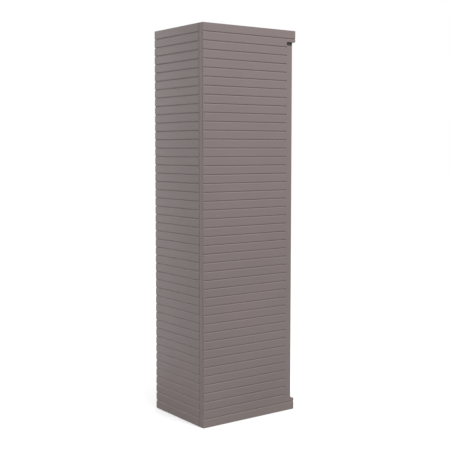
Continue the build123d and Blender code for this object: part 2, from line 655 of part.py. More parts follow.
# Screw cap and seal of the drain
DRAIN_CAP_R = 19.0
DRAIN_CAP_START = SHOULDER - 2
DRAIN_CAP_END = SMALL_TUBE_END - 6
DRAIN_CAP_BEVEL = 1.5
DRAIN_GRIPS = 12
DRAIN_GRIP = (3.0, 4.0)
DRAIN_SEAL_START = SMALL_TUBE_END - SEAL_GAP
DRAIN_SEAL_END = DRAIN_SEAL_START - 2
with BuildPart() as drain_cap:
    rod("X", DRAIN_CAP_START, DRAIN_CAP_END, DRAIN_AT, DRAIN_CAP_R)
    outer_edge = drain_cap.faces().filter_by(Axis.X).sort_by(Axis.X)[0].edges()
    chamfer(outer_edge, DRAIN_CAP_BEVEL)
    cap_middle = (DRAIN_CAP_START + DRAIN_CAP_END) / 2
    grip_length = DRAIN_CAP_START - DRAIN_CAP_END - 4
    with Locations(Location((cap_middle, *DRAIN_AT), (0, 90, 0))):
        with PolarLocations(DRAIN_CAP_R, DRAIN_GRIPS):
            Box(*DRAIN_GRIP, grip_length)
    rod("X", DRAIN_CAP_START, DRAIN_SEAL_END, DRAIN_AT, SMALL_TUBE_R + RUNNING, Mode.SUBTRACT)
finish(drain_cap, "drain_cap")

with BuildPart() as drain_cap_seal:
    rod("X", DRAIN_SEAL_START, DRAIN_SEAL_END, DRAIN_AT, SMALL_TUBE_R)
finish(drain_cap_seal, "drain_cap_seal")

# ---------------------------------------------------------------------------------------------
# Ball tap
# ---------------------------------------------------------------------------------------------

TAP_Y, TAP_Z = TAP_AT
TAP_START = SHOULDER - 2
SOCKET_END = SMALL_TUBE_END - 1
SOCKET_FLATS = 40.0
HOUSING_R = 19.0
BALL_X = -245.0
BALL_R = 13.0
WATERWAY_R = 8.0
CAVITY_R = 15.0
CAVITY_HALF = 15.0
CAVITY_END = BALL_X - CAVITY_HALF
BEND_START = CAVITY_END - 3
SEAT_WIDTH = 5.0
SEAT_BEVEL = 0.6
SPOUT_BEND = 20.0
SPOUT_X = BEND_START - SPOUT_BEND
SPOUT_R = 12.0
SPOUT_BOTTOM = TAP_Z - 52
STEM_AT = (BALL_X, TAP_Y)
STEM_R = 4.0
STEM_BORE_R = STEM_R + RUNNING
STEM_SLOT = 3.0
STEM_BOTTOM = TAP_Z + BALL_R - STEM_SLOT
STEM_BOSS_R = 9.0
STEM_BOSS_TOP = TAP_Z + 30
PACKING_NUT_TOP = STEM_BOSS_TOP + 8
PACKING_NUT_FLATS = 17.0
LEVER_BOTTOM = PACKING_NUT_TOP + SEAL_GAP
LEVER_TOP = LEVER_BOTTOM + 6
LEVER_SCREW = 5.0
LEVER_SCREW_FLATS = 12.0


def waterway(radius, mode=Mode.ADD):
    """The bent stretch behind the ball: out of the cavity, round, and down."""
    with BuildLine() as route:
        Line((BALL_X, TAP_Y, TAP_Z), (BEND_START, TAP_Y, TAP_Z))
        bend_end = (SPOUT_X, TAP_Y, TAP_Z - SPOUT_BEND)
        TangentArc((BEND_START, TAP_Y, TAP_Z), bend_end, tangent=(-1, 0, 0))
        Line(bend_end, (SPOUT_X, TAP_Y, SPOUT_BOTTOM))
    with BuildSketch(Plane(origin=(BALL_X, TAP_Y, TAP_Z), z_dir=(-1, 0, 0))) as section:
        Circle(radius)
    sweep(section.sketch, path=route.wire(), mode=mode)


with BuildPart() as tap_body:
    hexagon_end = SOCKET_END - 2
    hexagon_x(TAP_START, hexagon_end, TAP_AT, SOCKET_FLATS)
    rod("X", hexagon_end, BEND_START, TAP_AT, HOUSING_R)
    rod("Z", TAP_Z, STEM_BOSS_TOP, STEM_AT, STEM_BOSS_R)
    waterway(SPOUT_R)
    waterway(WATERWAY_R, Mode.SUBTRACT)
    rod("X", TAP_START, SOCKET_END, TAP_AT, SMALL_TUBE_R + RUNNING, Mode.SUBTRACT)
    rod("X", SOCKET_END, BALL_X, TAP_AT, WATERWAY_R, Mode.SUBTRACT)
    rod("X", CAVITY_END, BALL_X + CAVITY_HALF, TAP_AT, CAVITY_R, Mode.SUBTRACT)
    rod("Z", TAP_Z, STEM_BOSS_TOP, STEM_AT, STEM_BORE_R, Mode.SUBTRACT)
finish(tap_body, "tap_body")

with BuildPart() as tap_seats:
    for seat_side in (-1, 1):
        outer = BALL_X + seat_side * CAVITY_HALF
        inner = outer - seat_side * SEAT_WIDTH
        rod("X", outer, inner, TAP_AT, CAVITY_R - RUNNING)
        rod("X", outer, inner, TAP_AT, WATERWAY_R, Mode.SUBTRACT)
    bores = tap_seats.edges().filter_by(GeomType.CIRCLE).group_by(SortBy.RADIUS)[0]
    chamfer(bores.sort_by(Axis.X)[1:3], SEAT_BEVEL)
finish(tap_seats, "tap_seats")

# The ball is closed at rest: its bore lies across the pipe
with BuildPart() as tap_ball:
    with Locations((BALL_X, TAP_Y, TAP_Z)):
        Sphere(BALL_R)
    rod("Y", TAP_Y - BALL_R, TAP_Y + BALL_R, (BALL_X, TAP_Z), WATERWAY_R, Mode.SUBTRACT)
    rod("Z", STEM_BOTTOM, TAP_Z + BALL_R, STEM_AT, STEM_BORE_R, Mode.SUBTRACT)
finish(tap_ball, "tap_ball")

with BuildPart() as tap_stem:
    rod("Z", STEM_BOTTOM, LEVER_TOP, STEM_AT, STEM_R)
finish(tap_stem, "tap_stem")

with BuildPart() as packing_nut:
    hexagon_z(STEM_BOSS_TOP, PACKING_NUT_TOP, STEM_AT, PACKING_NUT_FLATS)
    rod("Z", STEM_BOSS_TOP, PACKING_NUT_TOP, STEM_AT, STEM_BORE_R, Mode.SUBTRACT)
finish(packing_nut, "packing_nut")

# The lever lies along the panel when the tap is shut
LEVER_LENGTH = 72.0
LEVER_WIDTH = 14.0
LEVER_HUB_R = 11.0
LEVER_TIP_R = 9.0
LEVER_ROUND = 1.5
with BuildPart() as tap_lever:
    with BuildSketch(Plane.XY.offset(LEVER_BOTTOM)):
        with Locations(STEM_AT):
            Circle(LEVER_HUB_R)
        with Locations((BALL_X, TAP_Y + LEVER_LENGTH / 2)):
            Rectangle(LEVER_WIDTH, LEVER_LENGTH)
        with Locations((BALL_X, TAP_Y + LEVER_LENGTH)):
            Circle(LEVER_TIP_R)
    extrude(amount=LEVER_TOP - LEVER_BOTTOM)
    fillet(tap_lever.faces().sort_by(Axis.Z)[-1].edges(), LEVER_ROUND)
    rod("Z", LEVER_BOTTOM, LEVER_TOP, STEM_AT, STEM_BORE_R, Mode.SUBTRACT)
finish(tap_lever, "tap_lever")

with BuildPart() as lever_screw:
    hexagon_z(LEVER_TOP, LEVER_TOP + LEVER_SCREW, STEM_AT, LEVER_SCREW_FLATS)
finish(lever_screw, "lever_screw")

# Hose nozzle, held by a nut on the spout; its tail for the hose starts below the nut
WASHER = 2.0
NOZZLE_TOP = SPOUT_BOTTOM - WASHER
NOZZLE_FLANGE = 4.0
NOZZLE_COLLAR_R = 10.2
NOZZLE_R = 9.5
NOZZLE_BORE_R = 6.5
NOZZLE_BOTTOM = NOZZLE_TOP - 44
SPOUT_AT = (SPOUT_X, TAP_Y)
NUT_TOP = SPOUT_BOTTOM + 16
NUT_BOTTOM = NOZZLE_TOP - NOZZLE_FLANGE - 4
NUT_R = 16.0
NUT_GRIPS = 12
NUT_GRIP = (2.4, 3.0)
with BuildPart() as nozzle_washer:
    rod("Z", NOZZLE_TOP, SPOUT_BOTTOM, SPOUT_AT, SPOUT_R)
    rod("Z", NOZZLE_TOP, SPOUT_BOTTOM, SPOUT_AT, WATERWAY_R, Mode.SUBTRACT)
finish(nozzle_washer, "nozzle_washer")

with BuildPart() as hose_nozzle:
    rod("Z", NOZZLE_BOTTOM, NUT_BOTTOM, SPOUT_AT, NOZZLE_R)
    chamfer(hose_nozzle.faces().sort_by(Axis.Z)[0].edges(), TUBE_TIP)
    rod("Z", NUT_BOTTOM, NOZZLE_TOP, SPOUT_AT, NOZZLE_COLLAR_R)
    rod("Z", NOZZLE_TOP - NOZZLE_FLANGE, NOZZLE_TOP, SPOUT_AT, SPOUT_R)
    rod("Z", NOZZLE_BOTTOM, NOZZLE_TOP, SPOUT_AT, NOZZLE_BORE_R, Mode.SUBTRACT)
finish(hose_nozzle, "hose_nozzle")

with BuildPart() as nozzle_nut:
    rod("Z", NUT_BOTTOM, NUT_TOP, SPOUT_AT, NUT_R)
    with Locations((*SPOUT_AT, (NUT_BOTTOM + NUT_TOP) / 2)):
        with PolarLocations(NUT_R, NUT_GRIPS):
            Box(*NUT_GRIP, NUT_TOP - NUT_BOTTOM)
    rod("Z", NUT_BOTTOM, NUT_TOP, SPOUT_AT, NOZZLE_COLLAR_R + RUNNING, Mode.SUBTRACT)
    ledge = NOZZLE_TOP - NOZZLE_FLANGE - SEAL_GAP
    rod("Z", ledge, NUT_TOP, SPOUT_AT, SPOUT_R + RUNNING, Mode.SUBTRACT)
finish(nozzle_nut, "nozzle_nut")
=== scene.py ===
# %% [markdown]
# # A slatted rain barrel
# This lesson dresses a slim rain barrel that stands against a house wall. The CAD model gives every
# part, its place and how it moves. Blender adds what CAD leaves plain: soft edges, barbs, grips,
# moulded grain, zinc and brass. The model comes in first and is never moved.

# %% Load the fixed frame
import bpy
import json
import math
from mathutils import Matrix, Vector


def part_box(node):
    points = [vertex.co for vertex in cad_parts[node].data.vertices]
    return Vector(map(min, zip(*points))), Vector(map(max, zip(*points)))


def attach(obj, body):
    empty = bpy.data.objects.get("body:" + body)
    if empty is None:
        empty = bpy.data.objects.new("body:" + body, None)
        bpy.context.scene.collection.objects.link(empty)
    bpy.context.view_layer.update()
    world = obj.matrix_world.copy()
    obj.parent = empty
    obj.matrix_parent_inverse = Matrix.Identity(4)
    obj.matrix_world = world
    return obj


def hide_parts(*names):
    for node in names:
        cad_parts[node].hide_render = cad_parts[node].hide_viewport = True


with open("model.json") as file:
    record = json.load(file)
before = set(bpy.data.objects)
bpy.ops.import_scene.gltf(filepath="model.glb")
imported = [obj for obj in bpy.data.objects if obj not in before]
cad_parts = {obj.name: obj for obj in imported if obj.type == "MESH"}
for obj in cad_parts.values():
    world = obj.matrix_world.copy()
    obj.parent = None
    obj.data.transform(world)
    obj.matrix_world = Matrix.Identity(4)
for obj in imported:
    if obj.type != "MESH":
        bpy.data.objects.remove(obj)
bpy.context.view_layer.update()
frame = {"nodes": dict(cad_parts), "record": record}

# %% [markdown]
# ## Camera
# The barrel is seen from its front right corner, by an eye 1.25 m above the ground. A camera that is
# tilted down lets the upright edges lean together, and a lens that is shifted down keeps them upright
# but moves every other view off its middle. So the tilt does most of it, a long lens keeps the lean
# under a hundredth of the picture's width, and the shift is small.

# %% Camera
EYE = (3.4178, -2.4713, 1.2504)
TURN = math.radians(54.119)
TILT = math.radians(3.973)
LENS = 71.13
LENS_SHIFT = -0.0321

camera_data = bpy.data.cameras.new("camera")
camera_data.lens = LENS
camera_data.sensor_width = 36.0
camera_data.shift_y = LENS_SHIFT
camera = bpy.data.objects.new("camera", camera_data)
camera.location = EYE
camera.rotation_euler = (math.pi / 2 - TILT, 0.0, TURN)
bpy.context.scene.collection.objects.link(camera)
bpy.context.scene.camera = camera
print("camera at", EYE)


# %% [markdown]
# ## Writing materials as sums
# A shader graph is easier to read as arithmetic. The small class below wraps a socket, so that
# `1 - mask` or `noise * 0.4 + 0.3` adds the Math nodes that say the same.

# %% Expressions on sockets
class Value:
    """One number that varies over the surface."""

    def __init__(self, maker, socket):
        self.maker = maker
        self.socket = socket

    def _with(self, operation, first, second):
        return self.maker.node("ShaderNodeMath", {"operation": operation}, {0: first, 1: second})

    def __add__(self, other):
        return self._with("ADD", self, other)

    def __sub__(self, other):
        return self._with("SUBTRACT", self, other)

    def __rsub__(self, other):
        return self._with("SUBTRACT", other, self)

    def __mul__(self, other):
        return self._with("MULTIPLY", self, other)

    __radd__ = __add__
    __rmul__ = __mul__


class Nodes:
    """The nodes of a material or of the world, all added by one method."""

    def __init__(self, tree):
        self.tree = tree

    def node(self, kind, settings, inputs, output=0):
        """Add a node: settings first, then the values or links of its sockets."""
        added = self.tree.nodes.new(kind)
        for name, value in settings.items():
            setattr(added, name, value)
        for name, value in inputs.items():
            if isinstance(value, Value):
                self.tree.links.new(value.socket, added.inputs[name])
            else:
                added.inputs[name].default_value = value
        return Value(self, added.outputs[output])

    def surface(self, output_name, given, seen):
        """One shader gives light and reflections, and another is what the camera sees."""
        camera_ray = self.node("ShaderNodeLightPath", {}, {}, "Is Camera Ray")
        choice = self.node("ShaderNodeMixShader", {}, {0: camera_ray, 1: given, 2: seen})
        self.tree.links.new(choice.socket, self.tree.nodes[output_name].inputs["Surface"])


class Finish(Nodes):
    """A material and the nodes that make it."""

    def __init__(self, name, base, roughness, metallic=0.0):
        self.material = bpy.data.materials.new(name)
        self.material.use_nodes = True
        super().__init__(self.material.node_tree)
        self.shader = self.tree.nodes["Principled BSDF"]
        self.material.diffuse_color = (*base, 1.0)
        self.shader.inputs["Base Color"].default_value = (*base, 1.0)
        self.shader.inputs["Roughness"].default_value = roughness
        self.shader.inputs["Metallic"].default_value = metallic
        self.place = self.node("ShaderNodeTexCoord", {}, {}, "Object")

    def noise(self, scale, detail):
        """Cloudy noise on the object's own coordinates."""
        inputs = {"Vector": self.place, "Scale": scale, "Detail": detail}
        return self.node("ShaderNodeTexNoise", {}, inputs)

    def step(self, value, low, high):
        """0 below low, 1 above high, smooth between."""
        settings = {"interpolation_type": "SMOOTHSTEP"}
        inputs = {"Value": value, "From Min": low, "From Max": high}
        return self.node("ShaderNodeMapRange", settings, inputs)

    def height_of(self):
        """The point's height above the ground, in metres."""
        return self.node("ShaderNodeSeparateXYZ", {}, {0: self.place}, "Z")

    def mix(self, factor, first, second):
        """Blend two colours."""
        colours = [c if isinstance(c, Value) else (*c, 1.0) for c in (first, second)]
        inputs = {0: factor, 6: colours[0], 7: colours[1]}
        return self.node("ShaderNodeMix", {"data_type": "RGBA"}, inputs, 2)

    def connect(self, socket, value):
        """Let a varying value drive one socket of the shader."""
        self.tree.links.new(value.socket, self.shader.inputs[socket])

    def bump(self, height, distance, strength):
        """A fine relief of that depth in metres, by shading alone."""
        inputs = {"Height": height, "Distance": distance, "Strength": strength}
        self.connect("Normal", self.node("ShaderNodeBump", {}, inputs))


# %% [markdown]
# ## Finishes
# The cladding is a satin, taupe-grey plastic. Its moulded grain is far finer than a slat, so it shows
# as a soft sheen and not as spots. Its colour drifts a little from place to place, and the lowest
# centimetres carry a trace of splashed dust.

# %% Cladding plastic
TAUPE = (0.199, 0.1605, 0.1565)
DUST = (0.30, 0.27, 0.235)


def tinted(colour, factor):
    """The same hue, lighter or darker."""
    return tuple(channel * factor for channel in colour)


cladding = Finish("cladding_taupe", TAUPE, 0.5)
drift = cladding.noise(2.3, 4.0)
drifting = cladding.step(drift, 0.35, 0.65)
body_colour = cladding.mix(drifting, tinted(TAUPE, 0.975), tinted(TAUPE, 1.025))
ragged_height = cladding.height_of() + cladding.noise(9.0, 5.0) * 0.05
dust = 1 - cladding.step(ragged_height, 0.03, 0.11)
cladding.connect("Base Color", cladding.mix(dust * 0.16, body_colour, DUST))
cladding.connect("Roughness", cladding.noise(60.0, 2.0) * 0.08 + 0.38 + dust * 0.15)
cladding.bump(cladding.noise(900.0, 2.0), 0.0002, 0.35)
print("made", cladding.material.name)

# %% [markdown]
# The other finishes: black moulded plastic and rubber, zinc on the posts and rails, with the frosty
# spangle of hot-dip galvanising, brass for the tap, bright stainless screws, and the dark tank.

# %% Plastics and rubber
black_plastic = Finish("black_plastic", (0.028, 0.028, 0.031), 0.45)
black_plastic.connect("Roughness", black_plastic.noise(80.0, 3.0) * 0.14 + 0.38)
black_plastic.bump(black_plastic.noise(1300.0, 2.0), 0.00015, 0.4)

rubber = Finish("rubber", (0.018, 0.018, 0.019), 0.8)
rubber.connect("Roughness", rubber.noise(120.0, 3.0) * 0.2 + 0.68)
rubber.bump(rubber.noise(700.0, 3.0), 0.0002, 0.5)

tank_plastic = Finish("tank_plastic", (0.055, 0.066, 0.060), 0.55)
tank_drift = tank_plastic.step(tank_plastic.noise(3.0, 4.0), 0.3, 0.7)
tank_colour = tank_plastic.mix(tank_drift, (0.048, 0.058, 0.053), (0.066, 0.078, 0.071))
tank_plastic.connect("Base Color", tank_colour)
tank_plastic.connect("Roughness", tank_plastic.noise(40.0, 3.0) * 0.2 + 0.45)
tank_plastic.bump(tank_plastic.noise(350.0, 3.0), 0.0004, 0.4)

white_plastic = Finish("white_plastic", (0.78, 0.78, 0.75), 0.35)
white_plastic.connect("Roughness", white_plastic.noise(90.0, 2.0) * 0.1 + 0.3)
print("made", [finish.material.name for finish in (black_plastic, rubber, tank_plastic, white_plastic)])

# %% Metals
zinc = Finish("galvanised_steel", (0.58, 0.60, 0.62), 0.4, 1.0)
spangle = zinc.node("ShaderNodeTexVoronoi", {}, {"Vector": zinc.place, "Scale": 150.0}, "Color")
frost = zinc.node("ShaderNodeSeparateColor", {}, {0: spangle})
zinc.connect("Base Color", zinc.mix(frost, (0.54, 0.56, 0.58), (0.63, 0.65, 0.67)))
zinc.connect("Roughness", frost * 0.12 + 0.38)

stainless = Finish("stainless_steel", (0.62, 0.62, 0.61), 0.28, 1.0)
stainless.connect("Roughness", stainless.noise(200.0, 3.0) * 0.16 + 0.2)

brass = Finish("tap_brass", (0.62, 0.46, 0.22), 0.3, 1.0)
tarnish = brass.step(brass.noise(55.0, 5.0), 0.42, 0.68)
brass.connect("Base Color", brass.mix(tarnish, (0.66, 0.49, 0.24), (0.45, 0.33, 0.17)))
brass.connect("Roughness", tarnish * 0.22 + 0.24)
brass.bump(brass.noise(500.0, 3.0), 0.0001, 0.35)

FINISH_OF_SLOT = {
    "cladding": cladding,
    "black_plastic": black_plastic,
    "rubber": rubber,
    "tank_plastic": tank_plastic,
    "seat_plastic": white_plastic,
    "frame_steel": zinc,
    "stainless": stainless,
    "brass": brass,
}
slot_of_node = {part["node"]: part["material_slot"] for part in frame["record"]["subparts"]}


def dress(piece, finish):
    """Give a piece one finish all over."""
    piece.data.materials.clear()
    piece.data.materials.append(finish.material)


for node_name, node in frame["nodes"].items():
    dress(node, FINISH_OF_SLOT[slot_of_node[node_name]])
print(len(frame["nodes"]), "nodes dressed")

# %% [markdown]
# ## Tools for shaping
# A piece is dressed, rides on the body of the CAD node that it stands for, and hides that node. Three
# ways of making cover this barrel: a copy of a CAD mesh with softened edges, a turned piece, which is
# a profile spun once round its axis, and a block that is pushed and pulled face by face.

# %% Placing and dressing a piece
MM = 0.001
body_of_node = {
    node_name: body
    for body, node_names in frame["record"]["behaviour"]["bodies"].items()
    for node_name in node_names
}


def place(piece, node_name, finish=None):
    """Dress a finished piece, let it ride on its node's body, and hide the node."""
    slot = slot_of_node[node_name]
    dress(piece, finish or FINISH_OF_SLOT[slot])
    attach(piece, body_of_node[node_name])
    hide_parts(node_name)


def middle_of(node_name):
    """The middle of a CAD node's box."""
    low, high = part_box(node_name)
    return (Vector(low) + Vector(high)) / 2


def span(node_name, axis):
    """Where a CAD node starts and ends along an axis: 0, 1 or 2."""
    low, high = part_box(node_name)
    return low[axis], high[axis]


# %% Selecting and finishing
def only(piece):
    """Select one piece alone and make it active."""
    bpy.ops.object.select_all(action="DESELECT")
    piece.select_set(True)
    bpy.context.view_layer.objects.active = piece


def select_faces(piece, test):
    """Go into edit mode with just the faces selected whose centre and normal pass the test."""
    only(piece)
    bpy.ops.object.mode_set(mode="EDIT")
    bpy.ops.mesh.select_mode(type="FACE")
    bpy.ops.mesh.select_all(action="DESELECT")
    bpy.ops.object.mode_set(mode="OBJECT")
    for face in piece.data.polygons:
        face.select = test(face.center, face.normal)
    bpy.ops.object.mode_set(mode="EDIT")


def leave_edit():
    bpy.ops.object.mode_set(mode="OBJECT")


def shade_evenly(piece):
    """Smooth shading that leaves the large faces flat, because they weigh most in each normal."""
    only(piece)
    bpy.ops.object.shade_smooth_by_angle(angle=math.radians(30.0))
    weights = piece.modifiers.new("even_shading", "WEIGHTED_NORMAL")
    weights.keep_sharp = True
    bpy.ops.object.modifier_apply(modifier=weights.name)


def soften(piece, width, segments=2, turn=35.0):
    """Bevel the edges that turn by more than the given angle, by the width at most, and shade evenly."""
    only(piece)
    bevel = piece.modifiers.new("soft_edges", "BEVEL")
    bevel.width = width
    bevel.segments = segments
    bevel.limit_method = "ANGLE"
    bevel.angle_limit = math.radians(turn)
    bpy.ops.object.modifier_apply(modifier=bevel.name)
    shade_evenly(piece)


# %% [markdown]
# ## Softened copies
# A moulded edge has a small radius, which catches a line of light, and the CAD edges are sharp. Each
# copy is merged, its flat triangles are joined into whole faces again, and its edges are bevelled. The
# width is the most that an edge can get: where one short edge leaves no room, the modifier narrows the
# bevel over the whole piece. The panels come close to their width, but the posts, the tap body, the
# strainer and the notch liners keep almost sharp edges. Subdivision would round them all, but it would
# swell the flat faces too.

# %% A softened copy
def whole_copy(node_name):
    """A copy of a CAD mesh, merged, with its flat triangles joined into whole faces."""
    piece = bpy.data.objects.new(f"{node_name}_soft", frame["nodes"][node_name].data.copy())
    bpy.context.scene.collection.objects.link(piece)
    only(piece)
    bpy.ops.object.mode_set(mode="EDIT")
    bpy.ops.mesh.select_all(action="SELECT")
    bpy.ops.mesh.remove_doubles(threshold=0.005 * MM)
    bpy.ops.mesh.dissolve_limited(angle_limit=math.radians(0.5))
    leave_edit()
    return piece


# The widths are in millimetres.
SOFT_EDGES = {
    "front_panel": 0.4,
    "right_side_panel": 0.4,
    "left_side_panel": 0.4,
    "back_panel": 0.8,
    "base_plinth": 1.0,
    "top_frame": 0.8,
    "front_left_post": 0.3,
    "front_right_post": 0.3,
    "rear_left_post": 0.3,
    "rear_right_post": 0.3,
    "lower_wall_rail": 0.4,
    "upper_wall_rail": 0.4,
    "hinge_pins": 0.4,
    "lid_seal": 0.5,
    "latch_cam": 0.5,
    "latch_nut": 0.5,
    "latch_spacer": 0.4,
    "tank_body": 1.5,
    "tank_cap_seal": 0.4,
    "inlet_strainer": 0.4,
    "drain_cap_seal": 0.3,
    "nozzle_washer": 0.3,
    "tap_body": 0.8,
    "tap_seats": 0.3,
    "tap_ball": 0.4,
    "tap_stem": 0.4,
    "packing_nut": 0.7,
    "lever_screw": 0.5,
}
for fitting in ("tap", "drain", "inlet", "overflow"):
    SOFT_EDGES[f"{fitting}_gasket"] = 0.4
    SOFT_EDGES[f"{fitting}_backnut"] = 0.8

for node_name, width in SOFT_EDGES.items():
    soft = whole_copy(node_name)
    soften(soft, width * MM)
    place(soft, node_name)
    print(node_name, len(soft.data.polygons))

# %% [markdown]
# ## Lid
# The lid's top isn't one flat plate: a shallow field stiffens it and keeps a raised rim round the edge
# and round the latch. The top face is inset, which follows both the outline and the round pocket, and
# the inner part is lowered by less than a millimetre.

# %% Lid with a sunken field
LID_RIM = 13.0 * MM
FIELD_DEPTH = 0.8 * MM
lid_top = span("lid_shell", 2)[1]
lid = whole_copy("lid_shell")
select_faces(lid, lambda centre, normal: normal.z > 0.9999 and centre.z > lid_top - 0.1 * MM)
bpy.ops.mesh.inset(thickness=LID_RIM, use_boundary=True, use_even_offset=True)
bpy.ops.mesh.extrude_region_move(TRANSFORM_OT_translate={"value": (0.0, 0.0, -FIELD_DEPTH)})
leave_edit()
soften(lid, 0.3 * MM)
place(lid, "lid_shell")
print("lid", len(lid.data.polygons))

# %% [markdown]
# ## Rubber liners
# The liners of the two hose notches are a soft rubber. Their dark taupe colour is painted shade: it
# gives each notch the dark of a shaded hollow in the taupe cladding. The CAD slit is a hose's way in,
# but rubber lips close on themselves, so the two faces of the slit are drawn together. A new web could
# be modelled instead, but two faces are less work.

# %% Notch liners
# Dark taupe rubber whose colour is painted shade, the dark of a shaded hollow in the cladding.
painted_shade_liner_rubber = Finish("painted_shade_liner_rubber", (0.055, 0.047, 0.046), 0.75)
painted_shade_liner_rubber.connect("Roughness", painted_shade_liner_rubber.noise(150.0, 3.0) * 0.15 + 0.65)
painted_shade_liner_rubber.bump(painted_shade_liner_rubber.noise(800.0, 3.0), 0.0002, 0.5)
for side in ("right", "left"):
    liner = whole_copy(f"{side}_notch_grommet")
    slit = middle_of(f"{side}_notch_grommet")
    select_faces(liner, lambda centre, normal: abs(centre.z - slit.z) < MM and abs(normal.z) > 0.9)
    bpy.ops.transform.resize(value=(1.0, 1.0, 0.1), center_override=slit)
    leave_edit()
    soften(liner, 0.3 * MM)
    place(liner, f"{side}_notch_grommet", painted_shade_liner_rubber)
    print(side, "liner", len(liner.data.polygons))

# %% [markdown]
# ## Turned pieces
# Tubes, caps, nuts and the nozzle are round, and on a lathe each would be one profile. Here a plane is
# merged to a single point, the point is extruded along the profile, and spin carries the profile once
# round its axis. A profile that ends on the axis makes a solid piece, and a closed one makes a ring.

# %% Turning a profile
DIRECTIONS = (Vector((1, 0, 0)), Vector((0, 1, 0)), Vector((0, 0, 1)))
X, Y, Z = range(3)


def turned(name, axis, middle, profile, steps=64):
    """Spin a profile of (place along the axis, radius) points, in metres, round an axis."""
    along = DIRECTIONS[axis]
    out = DIRECTIONS[X if axis == Z else Z]
    centre = Vector(middle)
    centre[axis] = 0.0
    points = [centre + along * at + out * radius for at, radius in profile]
    if profile[0][1] > 0.0:
        points.append(points[0])
    bpy.ops.object.select_all(action="DESELECT")
    bpy.ops.mesh.primitive_plane_add(size=MM)
    piece = bpy.context.object
    piece.name = name
    bpy.ops.object.mode_set(mode="EDIT")
    bpy.ops.mesh.select_mode(type="VERT")
    bpy.ops.mesh.select_all(action="SELECT")
    bpy.ops.mesh.merge(type="CENTER")
    bpy.ops.transform.translate(value=points[0])
    for start, end in zip(points, points[1:]):
        bpy.ops.mesh.extrude_vertices_move(TRANSFORM_OT_translate={"value": end - start})
    bpy.ops.mesh.select_all(action="SELECT")
    bpy.ops.mesh.spin(steps=steps, angle=math.tau, center=centre, axis=along)
    bpy.ops.mesh.select_all(action="SELECT")
    bpy.ops.mesh.remove_doubles(threshold=0.01 * MM)
    bpy.ops.mesh.normals_make_consistent(inside=False)
    leave_edit()
    return piece


THREAD_PITCH = 1.8 * MM


def thread(start, end, crest, depth=0.8 * MM):
    """Zigzag points of a thread along a profile."""
    turns = max(1, round(abs(end - start) / THREAD_PITCH))
    pitch = (end - start) / turns
    points = []
    for turn in range(turns):
        points += [(start + turn * pitch, crest - depth), (start + (turn + 0.5) * pitch, crest)]
    return points + [(end, crest - depth)]


def barbs(start, end, crest, count, depth=1.0 * MM):
    """Teeth that let a hose on and hold it: each falls away towards the open end."""
    step = (end - start) / count
    points = []
    for tooth in range(count):
        points += [(start + tooth * step, crest), (start + (tooth + 1) * step, crest - depth)]
    return points


def grips(piece, axis, middle, radius, count, reach):
    """Raise even grips round a turned piece, on the faces that lie at the radius."""
    others = [other for other in (X, Y, Z) if other != axis]

    def on_grip(centre, normal):
        across = [centre[other] - middle[other] for other in others]
        turn = math.atan2(across[1], across[0]) / math.tau % 1.0
        outside = math.hypot(*across) > radius - 0.3 * MM and abs(normal[axis]) < 0.1
        return outside and int(turn * count * 2) % 2 == 0

    select_faces(piece, on_grip)
    bpy.ops.mesh.extrude_region_shrink_fatten(TRANSFORM_OT_shrink_fatten={"value": reach})
    leave_edit()


def block(middle, size):
    """A box of that size round a middle, as a start for pushing and pulling."""
    bpy.ops.object.select_all(action="DESELECT")
    bpy.ops.mesh.primitive_cube_add(size=1.0, location=middle, scale=size)
    bpy.ops.object.transform_apply(location=True, rotation=True, scale=True)
    return bpy.context.object


def absorb(piece, *others):
    """Join other pieces into the first one."""
    bpy.ops.object.select_all(action="DESELECT")
    for other in others:
        other.select_set(True)
    piece.select_set(True)
    bpy.context.view_layer.objects.active = piece
    bpy.ops.object.join()


# %% [markdown]
# ### Tubes and rosettes
# Each fitting's tube is threaded through the tank's wall, with a flange outside and a backnut inside.
# The inlet and the overflow end in barbs, so that a hose stays on. The rosettes that cover the holes
# have a stepped face. They could be cut from the CAD discs, but one profile says it all.

